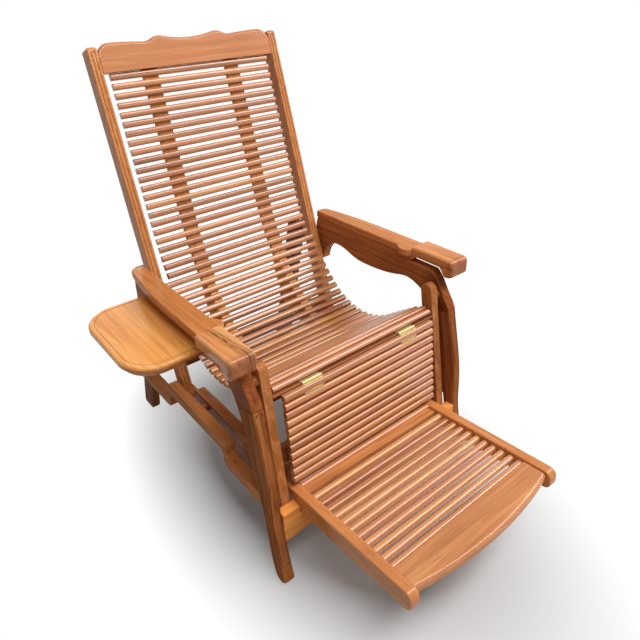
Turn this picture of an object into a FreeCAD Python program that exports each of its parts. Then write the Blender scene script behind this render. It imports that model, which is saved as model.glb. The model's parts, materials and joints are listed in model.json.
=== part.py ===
# Steamer deck chair: a slatted lounge chair with a hanging calf panel on two brass butt hinges,
# a footrest that slides in under the seat, and a side tray that drops down beside the left arm.
# Millimetres, +Z up. Origin: on the floor, in the centre plane, level with the front legs' toes.
# The chair faces -Y. "left" is the -X side, which carries the tray.
import FreeCAD, Part
import Sketcher
import math
import os

V = FreeCAD.Vector
doc = FreeCAD.newDocument("deck_chair")

# Driving dimensions
DIMENSIONS = [
    # frame planes and board sizes
    ("inner_half", 257.0, "outer face of stiles, posts and rear legs, from the centre plane"),
    ("stile_thick", 24.0, "stiles and guide rails, across"),
    ("stile_depth", 38.0, "stiles, front to back, square to their slope"),
    ("post_thick", 22.0, "posts and rear legs, across"),
    ("post_depth", 33.0, "posts, front to back"),
    ("plane_gap", 13.0, "space between the inner frame and the side frames"),
    ("side_thick", 26.0, "arm boards, front legs and stretchers, across"),
    ("recline", 17.8, "slope of the back from the vertical, degrees"),
    ("stile_foot_y", 379.0, "where the line of the stiles' front faces meets the floor"),
    ("stile_top_z", 1014.0, "top of the stiles' front faces"),
    ("bend_top_z", 597.7, "top of the sling's upper bend, where the straight back ends"),
    ("post_lean", 9.06, "posts' lean, bottom forward, degrees"),
    ("post_foot_y", 15.0, "where the line of the posts' front faces meets the floor"),
    ("guide_bottom_z", 197.0, "underside of the guide rails"),
    ("guide_top_z", 262.0, "top of the guide rails"),
    ("spacer_radius", 13.0, "round spacers between the inner and the side frames"),
    # sling
    ("slat_pitch", 21.7, "spacing of the slats along the sling"),
    ("slat_width", 15.4, "slat, along the sling"),
    ("slat_height", 13.0, "slat, above the ribs"),
    ("slat_round", 5.5, "rounding of a slat's two upper edges"),
    ("slat_drop", 5.0, "slat tops behind the stiles' front faces"),
    ("first_slat_down", 62.5, "first slat, down the slope from the top of the stiles"),
    ("back_radius", 523.0, "sling's upper bend, at the slats' seats"),
    ("bucket_radius", 178.0, "sling's lower bend, at the slats' seats"),
    ("nose_radius", 17.0, "flats of the nose rail under the front slats, from its middle"),
    ("nose_slat_foot", 10.4, "the two front slats, narrowed where they sit"),
    ("nose_slat_width", 14.0, "the same, at their widest"),
    ("back_slat_gap", 15.0, "ends of the back slats, from the stiles"),
    ("seat_slat_gap", 4.5, "ends of the seat slats, from the posts"),
    ("rib_inset", 121.0, "middle of the ribs and back laths, from the posts"),
    ("rib_thick", 24.0, "seat ribs, across"),
    ("rib_depth", 30.0, "seat ribs, below the slats' seats"),
    ("lath_width", 38.0, "back laths, across"),
    ("lath_thick", 14.0, "back laths, front to back"),
    ("lath_lap", 34.0, "back laths, lap behind the crest rail"),
    # arms
    ("arm_top_z", 541.5, "top of the arms"),
    ("arm_cap_thick", 19.5, "arm tops"),
    ("block_rise", 6.5, "front block's top above the arm's top"),
    ("block_width", 60.0, "front block, across"),
    ("slot_height", 15.5, "slot under the front block"),
    # footrest
    ("footrest_slope", 4.0, "footrest's rise towards the front, degrees"),
    ("footrest_z", 190.5, "top of the footrest's rails above the floor, carried back to the toe line"),
    ("footrest_gap", 8.0, "footrest's rails, from the guide rails"),
    ("footrest_rail_thick", 24.0, "footrest's rails, across"),
    ("footrest_rail_depth", 43.0, "footrest's rails, height"),
    ("footrest_front_y", -286.0, "front ends of the footrest's rails"),
    ("footrest_rear_y", 190.0, "rear ends of the footrest's rails"),
    ("footrest_pitch", 22.2, "spacing of the footrest's slats"),
    ("footrest_slat_drop", 7.0, "footrest's slats below the tops of its rails"),
    ("slide_gap", 0.3, "running clearance of the footrest in its guides"),
    # calf panel
    ("calf_lean", 6.2, "calf panel's lean, bottom forward, degrees"),
    ("calf_clearance", 14.0, "lower end of the calf panel, above the footrest"),
    ("calf_slat_gap", 17.0, "ends of the calf panel's slats, from the posts"),
    ("calf_batten_thick", 10.0, "battens behind the calf panel's slats"),
    ("calf_batten_width", 30.0, "the same, across"),
    ("hinge_inset", 95.0, "middle of the brass hinges, from the posts"),
    ("hinge_width", 50.0, "brass hinges, across"),
    ("leaf_thick", 1.6, "hinge leaves"),
    ("knuckle_radius", 2.6, "hinge knuckles"),
    ("pin_radius", 1.3, "hinge pins"),
    ("hinge_play", 0.05, "radial play of the hinge pins"),
    # tray
    ("tray_top_z", 498.0, "top of the side tray"),
    ("tray_thick", 15.0, "tray board"),
    ("tray_front_y", 209.0, "front end of the tray"),
    ("tray_rear_y", 493.0, "rear end of the tray"),
    ("tray_reach", 161.0, "tray, outwards from the arm board"),
    ("tray_corner", 72.0, "rounding of the tray's outer corners"),
    ("tray_joint", 0.5, "gap between the tray and the arm board"),
    ("apron_depth", 12.0, "edging under the tray"),
    ("prop_length", 91.4, "tray prop, pin to tip"),
    ("prop_width", 24.0, "tray prop, front to back"),
    ("prop_thick", 12.0, "tray prop"),
    ("prop_pin_radius", 2.5, "pin of the tray prop"),
]

sheet = doc.addObject("Spreadsheet::Sheet", "Dimensions")
sheet.Label = "dims"
for row, (alias, size, meaning) in enumerate(DIMENSIONS, start=1):
    sheet.set(f"A{row}", meaning)
    sheet.set(f"B{row}", str(size))
    sheet.setAlias(f"B{row}", alias)
doc.recompute()


class Sizes:
    """The sheet's cells as attributes."""

    def __getattr__(self, alias):
        return float(sheet.get(alias))


d = Sizes()
parts = []


def new_body(label):
    body = doc.addObject("PartDesign::Body", label)
    body.Label = label
    body.AllowCompound = True
    parts.append(body)
    return body


def origin_feature(body, role):
    return next(feature for feature in body.Origin.OriginFeatures if feature.Role == role)


def new_sketch(body, role, geometry):
    """A sketch on one of the body's origin planes, each piece of its outline fixed in place."""
    sketch = body.newObject("Sketcher::SketchObject", "Outline")
    sketch.AttachmentSupport = [(origin_feature(body, role), "")]
    sketch.MapMode = "FlatFace"
    for number, piece in enumerate(geometry):
        sketch.addGeometry(piece)
        sketch.addConstraint(Sketcher.Constraint("Block", number))
    return sketch


def add_pad(body, sketch, length, side="Symmetric", reverse=False):
    pad = body.newObject("PartDesign::Pad", "Pad")
    pad.Profile = sketch
    pad.SideType = side
    pad.Reversed = reverse
    pad.setExpression("Length", length)
    return pad


def add_pocket(body, sketch, length, side="Symmetric", reverse=False):
    before = body.Shape.Volume
    pocket = body.newObject("PartDesign::Pocket", "Pocket")
    pocket.Profile = sketch
    pocket.SideType = side
    pocket.Reversed = reverse
    pocket.setExpression("Length", length)
    doc.recompute()
    if body.Shape.Volume > before - 1.0:
        raise RuntimeError(f"{body.Label}: pocket cuts nothing")
    return pocket


class Outline:
    """A closed outline drawn from point to point on a sketch's own plane."""

    def __init__(self, x, y):
        self.start = V(x, y, 0)
        self.at = self.start
        self.pieces = []

    def line(self, x, y):
        end = V(x, y, 0)
        if end.distanceToPoint(self.at) > 1e-6:
            self.pieces.append(Part.LineSegment(self.at, end))
        self.at = end
        return self

    def arc(self, mid_x, mid_y, x, y):
        self.pieces.append(Part.Arc(self.at, V(mid_x, mid_y, 0), V(x, y, 0)))
        self.at = V(x, y, 0)
        return self

    def flats(self, centre_x, centre_y, turn, count):
        """An arc about a centre, drawn as a few flats; turn is in degrees, positive anticlockwise."""
        arm = self.at - V(centre_x, centre_y, 0)
        count = round(count)
        for step in range(1, count + 1):
            angle = turn * step / count
            self.line(centre_x + arm.x * cosine(angle) - arm.y * sine(angle),
                      centre_y + arm.x * sine(angle) + arm.y * cosine(angle))
        return self

    def ogee(self, x, y):
        """Two equal arcs to a point, level at both ends."""
        middle = (self.at + V(x, y, 0)) * 0.5
        run, rise = middle.x - self.at.x, middle.y - self.at.y
        radius = (run ** 2 + rise ** 2) / (2 * abs(rise))
        half_turn = math.atan2(abs(rise), abs(run))
        along = math.copysign(radius * math.sin(half_turn), run)
        across = math.copysign(radius * (1 - math.cos(half_turn)), rise)
        self.arc(self.at.x + along, self.at.y + across, middle.x, middle.y)
        return self.arc(x - along, y - across, x, y)

    def curve(self, *points):
        """A smooth line through points, drawn as arcs that run into each other."""
        spline = Part.BSplineCurve()
        spline.interpolate([self.at] + [V(x, y, 0) for x, y in points])
        self.pieces.extend(spline.toBiArcs(0.05))
        self.at = V(*points[-1], 0)
        return self

    def close(self):
        return self.line(self.start.x, self.start.y)


def corner(outline, corner_x, corner_y, radius, start, end, flats=0):
    """A quarter round at a corner, from the direction start to the direction end, or its flats."""
    centre = V(corner_x + radius * (start[0] + end[0]), corner_y + radius * (start[1] + end[1]), 0)
    first = V(corner_x + radius * start[0], corner_y + radius * start[1], 0)
    last = V(corner_x + radius * end[0], corner_y + radius * end[1], 0)
    middle = centre + ((first + last) * 0.5 - centre).normalize() * radius
    outline.line(first.x, first.y)
    if flats:
        side = start[0] * end[1] - start[1] * end[0]
        outline.flats(centre.x, centre.y, 90.0 if side < 0 else -90.0, flats)
    else:
        outline.arc(middle.x, middle.y, last.x, last.y)


def sine(degrees):
    return math.sin(math.radians(degrees))


def cosine(degrees):
    return math.cos(math.radians(degrees))


def tangent(degrees):
    return math.tan(math.radians(degrees))


def place(obj, y, z, turn=0.0, x=0.0):
    """Stand a piece at (x, y, z), turned about the X axis by a number of degrees."""
    obj.Placement = FreeCAD.Placement(V(x, y, z), FreeCAD.Rotation(V(1, 0, 0), turn))


def side_board(label, outline, centre, thickness):
    """A board cut to a side view, (y, z), its middle plane at x = centre."""
    body = new_body(label)
    add_pad(body, new_sketch(body, "YZ_Plane", outline.pieces), thickness)
    body.setExpression(".Placement.Base.x", centre)
    return body


def side_pair(label, outline, centre, thickness):
    left = side_board(label + "_left", outline, f"-({centre})", thickness)
    right = side_board(label + "_right", outline, centre, thickness)
    return left, right


def cross_board(label, outline, half_length):
    """A rail across the chair, its section drawn in the side view."""
    body = new_body(label)
    add_pad(body, new_sketch(body, "YZ_Plane", outline.pieces), f"2 * ({half_length})")
    return body


# Planes of the frames
STILE_CENTRE = "dims.inner_half - dims.stile_thick / 2"
POST_CENTRE = "dims.inner_half - dims.post_thick / 2"
SIDE_CENTRE = "dims.inner_half + dims.plane_gap + dims.side_thick / 2"
side_inner = d.inner_half + d.plane_gap
side_outer = side_inner + d.side_thick
STILE_INNER = "(dims.inner_half - dims.stile_thick)"
POST_INNER = "(dims.inner_half - dims.post_thick)"
BACK_HALF = f"({STILE_INNER} - dims.back_slat_gap)"
SEAT_HALF = f"({POST_INNER} - dims.seat_slat_gap)"
RIB_CENTRE = f"({POST_INNER} - dims.rib_inset)"
HINGE_CENTRE = f"({POST_INNER} - dims.hinge_inset)"
FOOTREST_HALF = f"({STILE_INNER} - dims.footrest_gap)"
stile_inner = d.inner_half - d.stile_thick
post_inner = d.inner_half - d.post_thick
hinge_centre = post_inner - d.hinge_inset
footrest_half = stile_inner - d.footrest_gap


def stile_front(z):
    return d.stile_foot_y + z * tangent(d.recline)


def stile_rear(z):
    return stile_front(z) + d.stile_depth / cosine(d.recline)


def post_front(z):
    return d.post_foot_y + z * tangent(d.post_lean)


def post_rear(z):
    return post_front(z) + d.post_depth / cosine(d.post_lean)


def footrest_line(y):
    """Height of the footrest's rails' tops."""
    return d.footrest_z - y * tangent(d.footrest_slope)


# Stiles
top_z = d.stile_top_z
top_y = stile_front(top_z)
stile = Outline(top_y, top_z)
stile.line(top_y + d.stile_depth * cosine(d.recline), top_z - d.stile_depth * sine(d.recline))
stile.line(stile_rear(d.guide_bottom_z), d.guide_bottom_z)
stile.line(stile_front(d.guide_bottom_z), d.guide_bottom_z)
stile.close()
side_pair("stile", stile, STILE_CENTRE, "dims.stile_thick")

# Crest rail: a flat board between the stiles. Its top steps up from two shoulders to two low
# peaks, with a shallow hollow between them
crest_low = -54.0
crest_end = -7.0
crest_shoulder = (stile_inner - 28.0, 12.0)
crest_dip = (118.0, 8.0)
crest_peak = (79.0, 18.0)
crest_hollow = 9.0
crest = Outline(-stile_inner, crest_low)
crest.line(stile_inner, crest_low)
crest.line(stile_inner, crest_end)
crest.arc(crest_shoulder[0] + 18, 5.5, *crest_shoulder)
crest.arc(160.0, 11.0, *crest_dip)
crest.ogee(*crest_peak)
crest.line(crest_peak[0] - 7, crest_peak[1])
crest.arc(0, crest_hollow, 7 - crest_peak[0], crest_peak[1])
crest.line(-crest_peak[0], crest_peak[1])
crest.ogee(-crest_dip[0], crest_dip[1])
crest.arc(-160.0, 11.0, -crest_shoulder[0], crest_shoulder[1])
crest.arc(-crest_shoulder[0] - 18, 5.5, -stile_inner, crest_end)
crest.close()
body = new_body("crest_rail")
add_pad(body, new_sketch(body, "XZ_Plane", crest.pieces), "dims.slat_drop + dims.slat_height",
        "One side", reverse=True)
place(body, top_y, top_z, -d.recline)


class Sling:
    """The line of the slats' seats, followed from the crest rail down to the nose.

    heading is the direction of travel in degrees from the +Y axis; the seats' normal, on
    which the slats stand, lies 90 degrees clockwise of it."""

    def __init__(self, y, z, heading):
        self.y = y
        self.z = z
        self.heading = heading

    def normal(self):
        return sine(self.heading), -cosine(self.heading)

    def below(self, depth):
        ny, nz = self.normal()
        return self.y - ny * depth, self.z - nz * depth

    def line(self, length):
        return Sling(self.y + length * cosine(self.heading), self.z + length * sine(self.heading), self.heading)

    def centre(self, radius):
        return self.below(-radius)

    def bend(self, radius, turn):
        """Turn towards the seats' normal, on a circle of this radius."""
        cy, cz = self.centre(radius)
        end = Sling(cy, cz, self.heading - turn)
        end.y, end.z = end.below(radius)
        return end


down = 270.0 - d.recline
seat_depth = d.slat_drop + d.slat_height
sling_top = Sling(top_y + seat_depth * cosine(d.recline), top_z - seat_depth * sine(d.recline), down)
back_slats, upper_bend_slats, bucket_slats, seat_slats = 18, 13, 10, 5
back_step = math.degrees(d.slat_pitch / (d.back_radius - d.slat_height))
bucket_step = math.degrees(d.slat_pitch / (d.bucket_radius - d.slat_height))
first = sling_top.line(d.first_slat_down)
back_run = (first.z - d.bend_top_z) / cosine(d.recline)
back_end = first.line(back_run)
upper_bend_end = back_end.bend(d.back_radius, upper_bend_slats * back_step)
bucket_end = upper_bend_end.bend(d.bucket_radius, bucket_slats * bucket_step)
seat_end = bucket_end.line((seat_slats + 0.65) * d.slat_pitch)


# A slat's rounded edges repeat so often that each is drawn as a few flats
SLAT_FLATS = 3


def slat_outline(base=0.0):
    """A slat's section: flat underneath, its two upper edges well rounded."""
    half = d.slat_width / 2
    outline = Outline(-half, base)
    outline.line(half, base)
    corner(outline, half, base + d.slat_height, d.slat_round, (0, -1), (-1, 0), SLAT_FLATS)
    corner(outline, -half, base + d.slat_height, d.slat_round, (1, 0), (0, -1), SLAT_FLATS)
    return outline.close()


def seats(outline, at, radius, step, first, last):
    """The flats under a fan's slats from one to another, as corners midway between them."""
    for slat in range(first, last):
        turned = at.bend(radius, (slat + 0.5) * step)
        outline.line(*turned.below(radius / cosine(step / 2) - radius))
    return outline


def slat_row(label, at, count, half, spacing):
    """Slats in a straight row from a point of the sling, along its heading."""
    body = new_body(label)
    pad = add_pad(body, new_sketch(body, "YZ_Plane", slat_outline().pieces), f"2 * {half}")
    place(body, at.y, at.z, at.heading - 180.0)
    if count > 1:
        row = body.newObject("PartDesign::LinearPattern", "Row")
        row.Originals = [pad]
        row.Direction = (origin_feature(body, "Y_Axis"), [""])
        row.Reversed = True
        row.setExpression("Length", f"{count - 1} * {spacing}")
        row.Occurrences = count
        body.Tip = row
    return body


def slat_fan(label, at, radius, step, count, half):
    """Slats round a bend of the sling, each one step on from the last."""
    body = new_body(label)
    cy, cz = at.centre(radius)
    pad = add_pad(body, new_sketch(body, "YZ_Plane", slat_outline(-radius).pieces), f"2 * {half}")
    place(body, cy, cz, at.heading - 180.0 - step)
    fan = body.newObject("PartDesign::PolarPattern", "Fan")
    fan.Originals = [pad]
    fan.Axis = (origin_feature(body, "X_Axis"), [""])
    fan.Reversed = True
    fan.Angle = step * (count - 1)
    fan.Occurrences = count
    body.Tip = fan
    return body


narrow_bend_slats = 5
slat_row("back_slats", first, back_slats, BACK_HALF, str(back_run / (back_slats - 1)))
slat_fan("lower_back_slats", back_end, d.back_radius, back_step, narrow_bend_slats, BACK_HALF)
wide_start = back_end.bend(d.back_radius, narrow_bend_slats * back_step)
slat_fan("rear_seat_slats", wide_start, d.back_radius, back_step, upper_bend_slats - narrow_bend_slats, SEAT_HALF)
slat_fan("bucket_slats", upper_bend_end, d.bucket_radius, bucket_step, bucket_slats, SEAT_HALF)
slat_row("seat_slats", bucket_end.line(d.slat_pitch), seat_slats, SEAT_HALF, "dims.slat_pitch")

# Nose rail, with flats under the last two slats, and a lip in front that carries the hinges
nose_leans = (4.0, -32.0)
nose_y, nose_z = seat_end.below(d.nose_radius)
hinge_y = nose_y - 26.0
hinge_z = nose_z + 12.5
leaf_near = 0.5
leaf_far = leaf_near + d.leaf_thick
lip_y = hinge_y + d.knuckle_radius + 0.3
lip_top = hinge_z - leaf_far
lip_bottom = lip_top - 5.0
rebate_y = lip_y + 11.0
nose_rear_y = nose_y + 21.0
nose_bottom = nose_z - 13.0
seat_ny, seat_nz = seat_end.normal()
seat_lean = math.degrees(math.atan2(seat_ny, seat_nz))


def nose_ridge(lean, other_lean):
    """Where two of the nose rail's flats meet."""
    middle = (lean + other_lean) / 2
    reach = d.nose_radius / cosine((lean - other_lean) / 2)
    return nose_y + reach * sine(middle), nose_z + reach * cosine(middle)


flat_run = (nose_z + d.nose_radius * cosine(nose_leans[1]) - lip_top) / tangent(-nose_leans[1])
nose_back = seat_end.line(-12.0)
lip_rear = nose_y + d.nose_radius * sine(nose_leans[1]) - flat_run
nose = Outline(lip_y, lip_top)
nose.line(lip_rear, lip_top)
nose.line(*nose_ridge(nose_leans[1], nose_leans[0]))
nose.line(*nose_ridge(nose_leans[0], seat_lean))
nose.line(nose_back.y, nose_back.z)
nose.line(nose_rear_y, nose_bottom)
nose.line(rebate_y, nose_bottom)
nose.line(rebate_y, lip_bottom)
nose.line(lip_y, lip_bottom)
nose.close()
cross_board("nose_rail", nose, POST_INNER)
for number, lean in enumerate(nose_leans, start=1):
    at = Sling(nose_y + d.nose_radius * sine(lean), nose_z + d.nose_radius * cosine(lean), 180.0 - lean)
    body = new_body(f"nose_slat_{number}")
    half = d.nose_slat_width / 2
    slat = Outline(-d.nose_slat_foot / 2, 0)
    slat.line(d.nose_slat_foot / 2, 0)
    slat.line(half, d.slat_height - d.slat_round)
    slat.flats(half - d.slat_round, d.slat_height - d.slat_round, 90.0, SLAT_FLATS)
    slat.line(-half + d.slat_round, d.slat_height)
    slat.flats(-half + d.slat_round, d.slat_height - d.slat_round, 90.0, SLAT_FLATS)
    slat.close()
    add_pad(body, new_sketch(body, "YZ_Plane", slat.pieces), f"2 * {SEAT_HALF}")
    place(body, at.y, at.z, at.heading - 180.0)

# Back laths behind the slats, lapped on the crest rail, and seat ribs from the lower bend to the nose rail
rib_steps = 7
lath_low = back_end.bend(d.back_radius, rib_steps * back_step)
lath_top = sling_top.line(-crest_low - d.lath_lap)
back_mid = back_end.bend(d.back_radius, rib_steps * back_step / 2)


def lath_at(point):
    return point.below(d.lath_thick)


lath = Outline(lath_top.y, lath_top.z)
seats(lath, back_end, d.back_radius, back_step, 0, rib_steps)
lath.line(lath_low.y, lath_low.z)
lath.line(*lath_at(lath_low))
lath.arc(*lath_at(back_mid), *lath_at(back_end))
lath.line(*lath_at(lath_top))
lath.close()
side_pair("back_lath", lath, RIB_CENTRE, "dims.lath_width")

seat_bar_front = lath_low.y - 49.0
seat_bar_rear = seat_bar_front + 28.0
seat_bar_top = lath_low.z - 158.6
seat_bar_bottom = seat_bar_top - 27.0
rib = Outline(lath_low.y, lath_low.z)
seats(rib, back_end, d.back_radius, back_step, rib_steps, upper_bend_slats)
seats(rib, upper_bend_end, d.bucket_radius, bucket_step, 0, bucket_slats)
rib.line(nose_back.y, nose_back.z)
rib.line(nose_rear_y, nose_bottom)
rib_heel = lath_low.below(d.rib_depth)


def bucket_under(slat):
    """The rib's underside, below a place between the lower bend's slats."""
    return upper_bend_end.bend(d.bucket_radius, slat * bucket_step).below(d.rib_depth)


rib.curve(bucket_end.line(45).below(d.rib_depth - 2), bucket_under(bucket_slats - 1.5),
          bucket_under(bucket_slats / 2), (seat_bar_front - 50, seat_bar_top - 9), (seat_bar_front, seat_bar_top))
rib.line(seat_bar_rear, seat_bar_top)
rib.curve((seat_bar_rear + 14, seat_bar_top + 50), (rib_heel[0] - 2, rib_heel[1] - 30), rib_heel)
rib.close()
side_pair("seat_rib", rib, RIB_CENTRE, "dims.rib_thick")

seat_bar = Outline(seat_bar_front, seat_bar_bottom)
seat_bar.line(seat_bar_rear, seat_bar_bottom).line(seat_bar_rear, seat_bar_top)
seat_bar.line(seat_bar_front, seat_bar_top).close()
cross_board("seat_cross_rail", seat_bar, STILE_INNER)

# Posts, leaning with the calf panel, rounded on top, their feet flat against the front cross rail
board_top = d.arm_top_z - d.arm_cap_thick
post_top = board_top - 32.0
post_foot = 148.0
foot_flat = 20.0
post_round = d.post_depth / 2
front_rail_rear = post_front(post_foot + foot_flat)
post_axis = (sine(d.post_lean), cosine(d.post_lean))
crown_z = post_top - post_round
crown_y = post_front(crown_z) + post_round / cosine(d.post_lean)
post = Outline(front_rail_rear, post_foot)
post.line(front_rail_rear, post_foot + foot_flat)
post.line(crown_y - post_round * cosine(d.post_lean), crown_z + post_round * sine(d.post_lean))
post.arc(crown_y + post_round * post_axis[0], crown_z + post_round * post_axis[1],
         crown_y + post_round * cosine(d.post_lean), crown_z - post_round * sine(d.post_lean))
post.line(post_rear(post_foot), post_foot)
post.close()
side_pair("front_post", post, POST_CENTRE, "dims.post_thick")

# Guide rails from the posts back to the stiles, with a hollow step down at the back
guide_step = 30.0
guide_step_y = 379.0
guide_low = d.guide_top_z - guide_step
guide = Outline(post_rear(d.guide_bottom_z), d.guide_bottom_z)
guide.line(post_rear(d.guide_top_z), d.guide_top_z)
guide.line(guide_step_y, d.guide_top_z)
guide.ogee(guide_step_y + 36, guide_low)
guide.line(stile_front(guide_low), guide_low)
guide.line(stile_front(d.guide_bottom_z), d.guide_bottom_z)
guide.close()
side_pair("guide_rail", guide, STILE_CENTRE, "dims.stile_thick")

# Rear legs, sloping back to the floor from the rear edge of the stiles
leg_slope = 0.223
leg_foot_y = 703.0
leg_width = 57.0
heel_round = 10.0
leg_head_z = d.arm_top_z - 1.5


def leg_front(z):
    return leg_foot_y - leg_slope * z


rear_leg = Outline(leg_front(0) + heel_round, 0)
rear_leg.line(leg_front(0) + leg_width - heel_round, 0)
rear_leg.arc(leg_front(0) + leg_width - 4, 3.4, leg_front(heel_round) + leg_width, heel_round)
rear_leg.line(leg_front(leg_head_z - 30) + leg_width, leg_head_z - 30)
rear_leg.arc(leg_front(leg_head_z) + leg_width - 5, leg_head_z - 9, leg_front(leg_head_z) + leg_width - 24, leg_head_z)
rear_leg.line(stile_rear(leg_head_z), leg_head_z)
rear_leg.line(stile_rear(leg_head_z - 60), leg_head_z - 60)
hollow = (leg_head_z - 85, leg_head_z - 115, leg_head_z - 150)
rear_leg.curve((leg_front(hollow[0]) - 8, hollow[0]), (leg_front(hollow[1]) - 1, hollow[1]),
               (leg_front(hollow[2]), hollow[2]))
rear_leg.line(leg_front(heel_round), heel_round)
rear_leg.arc(leg_front(0) + 2.6, 3.6, leg_front(0) + heel_round, 0)
side_pair("rear_leg", rear_leg, POST_CENTRE, "dims.post_thick")

# Arm boards: deep boards on edge with a wavy lower edge, an ear down the stile at the back,
# and a knee at the front whose scarfed end stands on the front leg
slot_floor = board_top + 3.0 - d.slot_height
arm_rear_y = 556.0
ear_low = board_top - 122.0
block_rear_y = 190.0
scarf_front = (61.5, board_top - 104.0)
scarf_rear = (121.0, board_top - 116.0)
arm = Outline(arm_rear_y - 4, board_top)
arm.line(block_rear_y - 10, board_top)
arm.line(block_rear_y + 4, slot_floor)
arm.line(124, slot_floor)
arm.curve((109, slot_floor - 14), (89, board_top - 57), (72, board_top - 82), scarf_front)
arm.line(*scarf_rear)
arm.curve((147, board_top - 79), (173, board_top - 65), (202, board_top - 59), (239, board_top - 66),
          (290, board_top - 75), (345, board_top - 78), (390, board_top - 75), (430, board_top - 63),
          (461, board_top - 58), (487, board_top - 62), (506, board_top - 76), (519, board_top - 94),
          (527, ear_low))
arm.line(arm_rear_y - 12, ear_low)
arm.curve((arm_rear_y - 1, ear_low + 12), (arm_rear_y + 2, ear_low + 50), (arm_rear_y + 2, ear_low + 100),
          (arm_rear_y - 4, board_top))
arm.close()
side_pair("arm_board", arm, SIDE_CENTRE, "dims.side_thick")

# Arm tops, overhanging outwards, and the rounded blocks in front with a slot underneath
for side, sign in (("left", -1), ("right", 1)):
    cap = Outline(sign * side_inner, arm_rear_y)
    cap.line(sign * side_inner, 245)
    cap.curve((sign * (side_inner - 5), 231), (sign * (side_inner - 13), 216), (sign * (side_inner - 12), 206),
              (sign * (side_inner + 2), block_rear_y))
    cap.line(sign * (side_outer + 27), block_rear_y)
    cap.curve((sign * (side_outer + 26), 290), (sign * (side_outer + 24), 400), (sign * (side_outer + 17), 480),
              (sign * (side_outer + 7), arm_rear_y - 8))
    cap.line(sign * (side_outer), arm_rear_y)
    cap.close()
    body = new_body(f"arm_top_{side}")
    add_pad(body, new_sketch(body, "XY_Plane", cap.pieces), "dims.arm_cap_thick", "One side")
    place(body, 0, board_top)

block_top = d.arm_top_z + d.block_rise
block_front = 67.0
block = Outline(block_rear_y, board_top)
block.line(block_rear_y - 10, board_top)
block.line(block_rear_y - 13, slot_floor + d.slot_height)
block.line(104, slot_floor + d.slot_height)
block.line(97, slot_floor + 9).line(87, slot_floor - 5)
block.line(block_front + 9, slot_floor - 5)
block.arc(block_front + 2.6, slot_floor - 2.4, block_front, slot_floor + 4)
block.line(block_front, block_top - 13)
block.arc(block_front + 3.8, block_top - 3.8, block_front + 13, block_top)
block.line(block_rear_y, block_top)
block.close()
BLOCK_CENTRE = "dims.inner_half + dims.plane_gap + 2 + dims.block_width / 2"
side_pair("arm_block", block, BLOCK_CENTRE, "dims.block_width")

# Front legs: a long double curve, with a flat for the stretcher on the back
stretch_low, stretch_high = 182.0, 212.0
flat_slope = 3.232


def leg_flat(z):
    return 56.0 + (z - 180.0) / flat_slope


toe = -15.0
front_leg = Outline(*scarf_front)
front_leg.curve((49, 356), (38, 305), (31, 262), (27, 215), (24, 168), (15, 118), (4, 72), (-6, 36), (toe, 8))
front_leg.arc(toe + 1.6, 3.0, toe + 5, 0)
front_leg.line(8, 0)
front_leg.arc(16, 4, 22, 12)
front_leg.curve((33, 48), (42, 100), (50, 150), (leg_flat(stretch_low - 2), stretch_low - 2))
front_leg.line(leg_flat(stretch_high + 4), stretch_high + 4)
front_leg.curve((84, 272), (97, 330), (107, 372), scarf_rear)
front_leg.close()
side_pair("front_leg", front_leg, SIDE_CENTRE, "dims.side_thick")

# Outer stretchers, raised in the middle
stretch_rise = 45.0
rise_start, rise_end = 172.0, 452.0
stretch_rear_y = 704.0
stretcher = Outline(leg_flat(stretch_low), stretch_low)
stretcher.line(leg_flat(stretch_high), stretch_high)
stretcher.line(rise_start, stretch_high)
stretcher.ogee(rise_start + 34, stretch_high + stretch_rise)
stretcher.line(rise_end, stretch_high + stretch_rise)
stretcher.ogee(rise_end + 34, stretch_high)
stretcher.line(stretch_rear_y - 12, stretch_high)
stretcher.arc(stretch_rear_y, (stretch_low + stretch_high) / 2, stretch_rear_y - 12, stretch_low)
stretcher.line(rise_end + 22, stretch_low)
stretcher.ogee(rise_end - 15, stretch_low + stretch_rise)
stretcher.line(rise_start + 49, stretch_low + stretch_rise)
stretcher.ogee(rise_start + 12, stretch_low)
stretcher.close()
side_pair("stretcher", stretcher, SIDE_CENTRE, "dims.side_thick")

# Round spacers between the inner frame and the side frames: at the knee, stile, guide rail and rear leg
spacer_places = ((104.0, board_top - 67.0), (538.0, board_top - 92.0), (340.0, 243.0), (686.0, 197.0))
for side, sign in (("left", "-"), ("right", "")):
    body = new_body(f"spacers_{side}")
    circles = [Part.Circle(V(y, z, 0), V(0, 0, 1), d.spacer_radius) for y, z in spacer_places]
    add_pad(body, new_sketch(body, "YZ_Plane", circles), "dims.plane_gap")
    body.setExpression(".Placement.Base.x", f"{sign}(dims.inner_half + dims.plane_gap / 2)")

# Front cross rail between the front legs, arched underneath and cut down where the footrest slides
rail_front = 18.0
rail_top = 166.0
rail_end_low = 86.0
rail_arch = 11.0
cross = Outline(-side_inner, rail_end_low)
cross.arc(0, rail_end_low + rail_arch, side_inner, rail_end_low)
cross.line(side_inner, rail_top)
cross.line(-side_inner, rail_top)
cross.close()
body = new_body("front_cross_rail")
sketch = new_sketch(body, "XZ_Plane", cross.pieces)
pad = add_pad(body, sketch, str(front_rail_rear - rail_front), "One side", reverse=True)
place(body, rail_front, 0)
doc.recompute()

bed_depth = (d.footrest_rail_depth + d.slide_gap) / cosine(d.footrest_slope)
bed = Outline(-5, footrest_line(rail_front - 5) - bed_depth)
bed.line(40, footrest_line(rail_front + 40) - bed_depth)
bed.line(40, rail_top + 10)
bed.line(-5, rail_top + 10)
bed.close()
add_pocket(body, new_sketch(body, "YZ_Plane", bed.pieces), f"2 * ({FOOTREST_HALF} + dims.slide_gap)")

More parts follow.
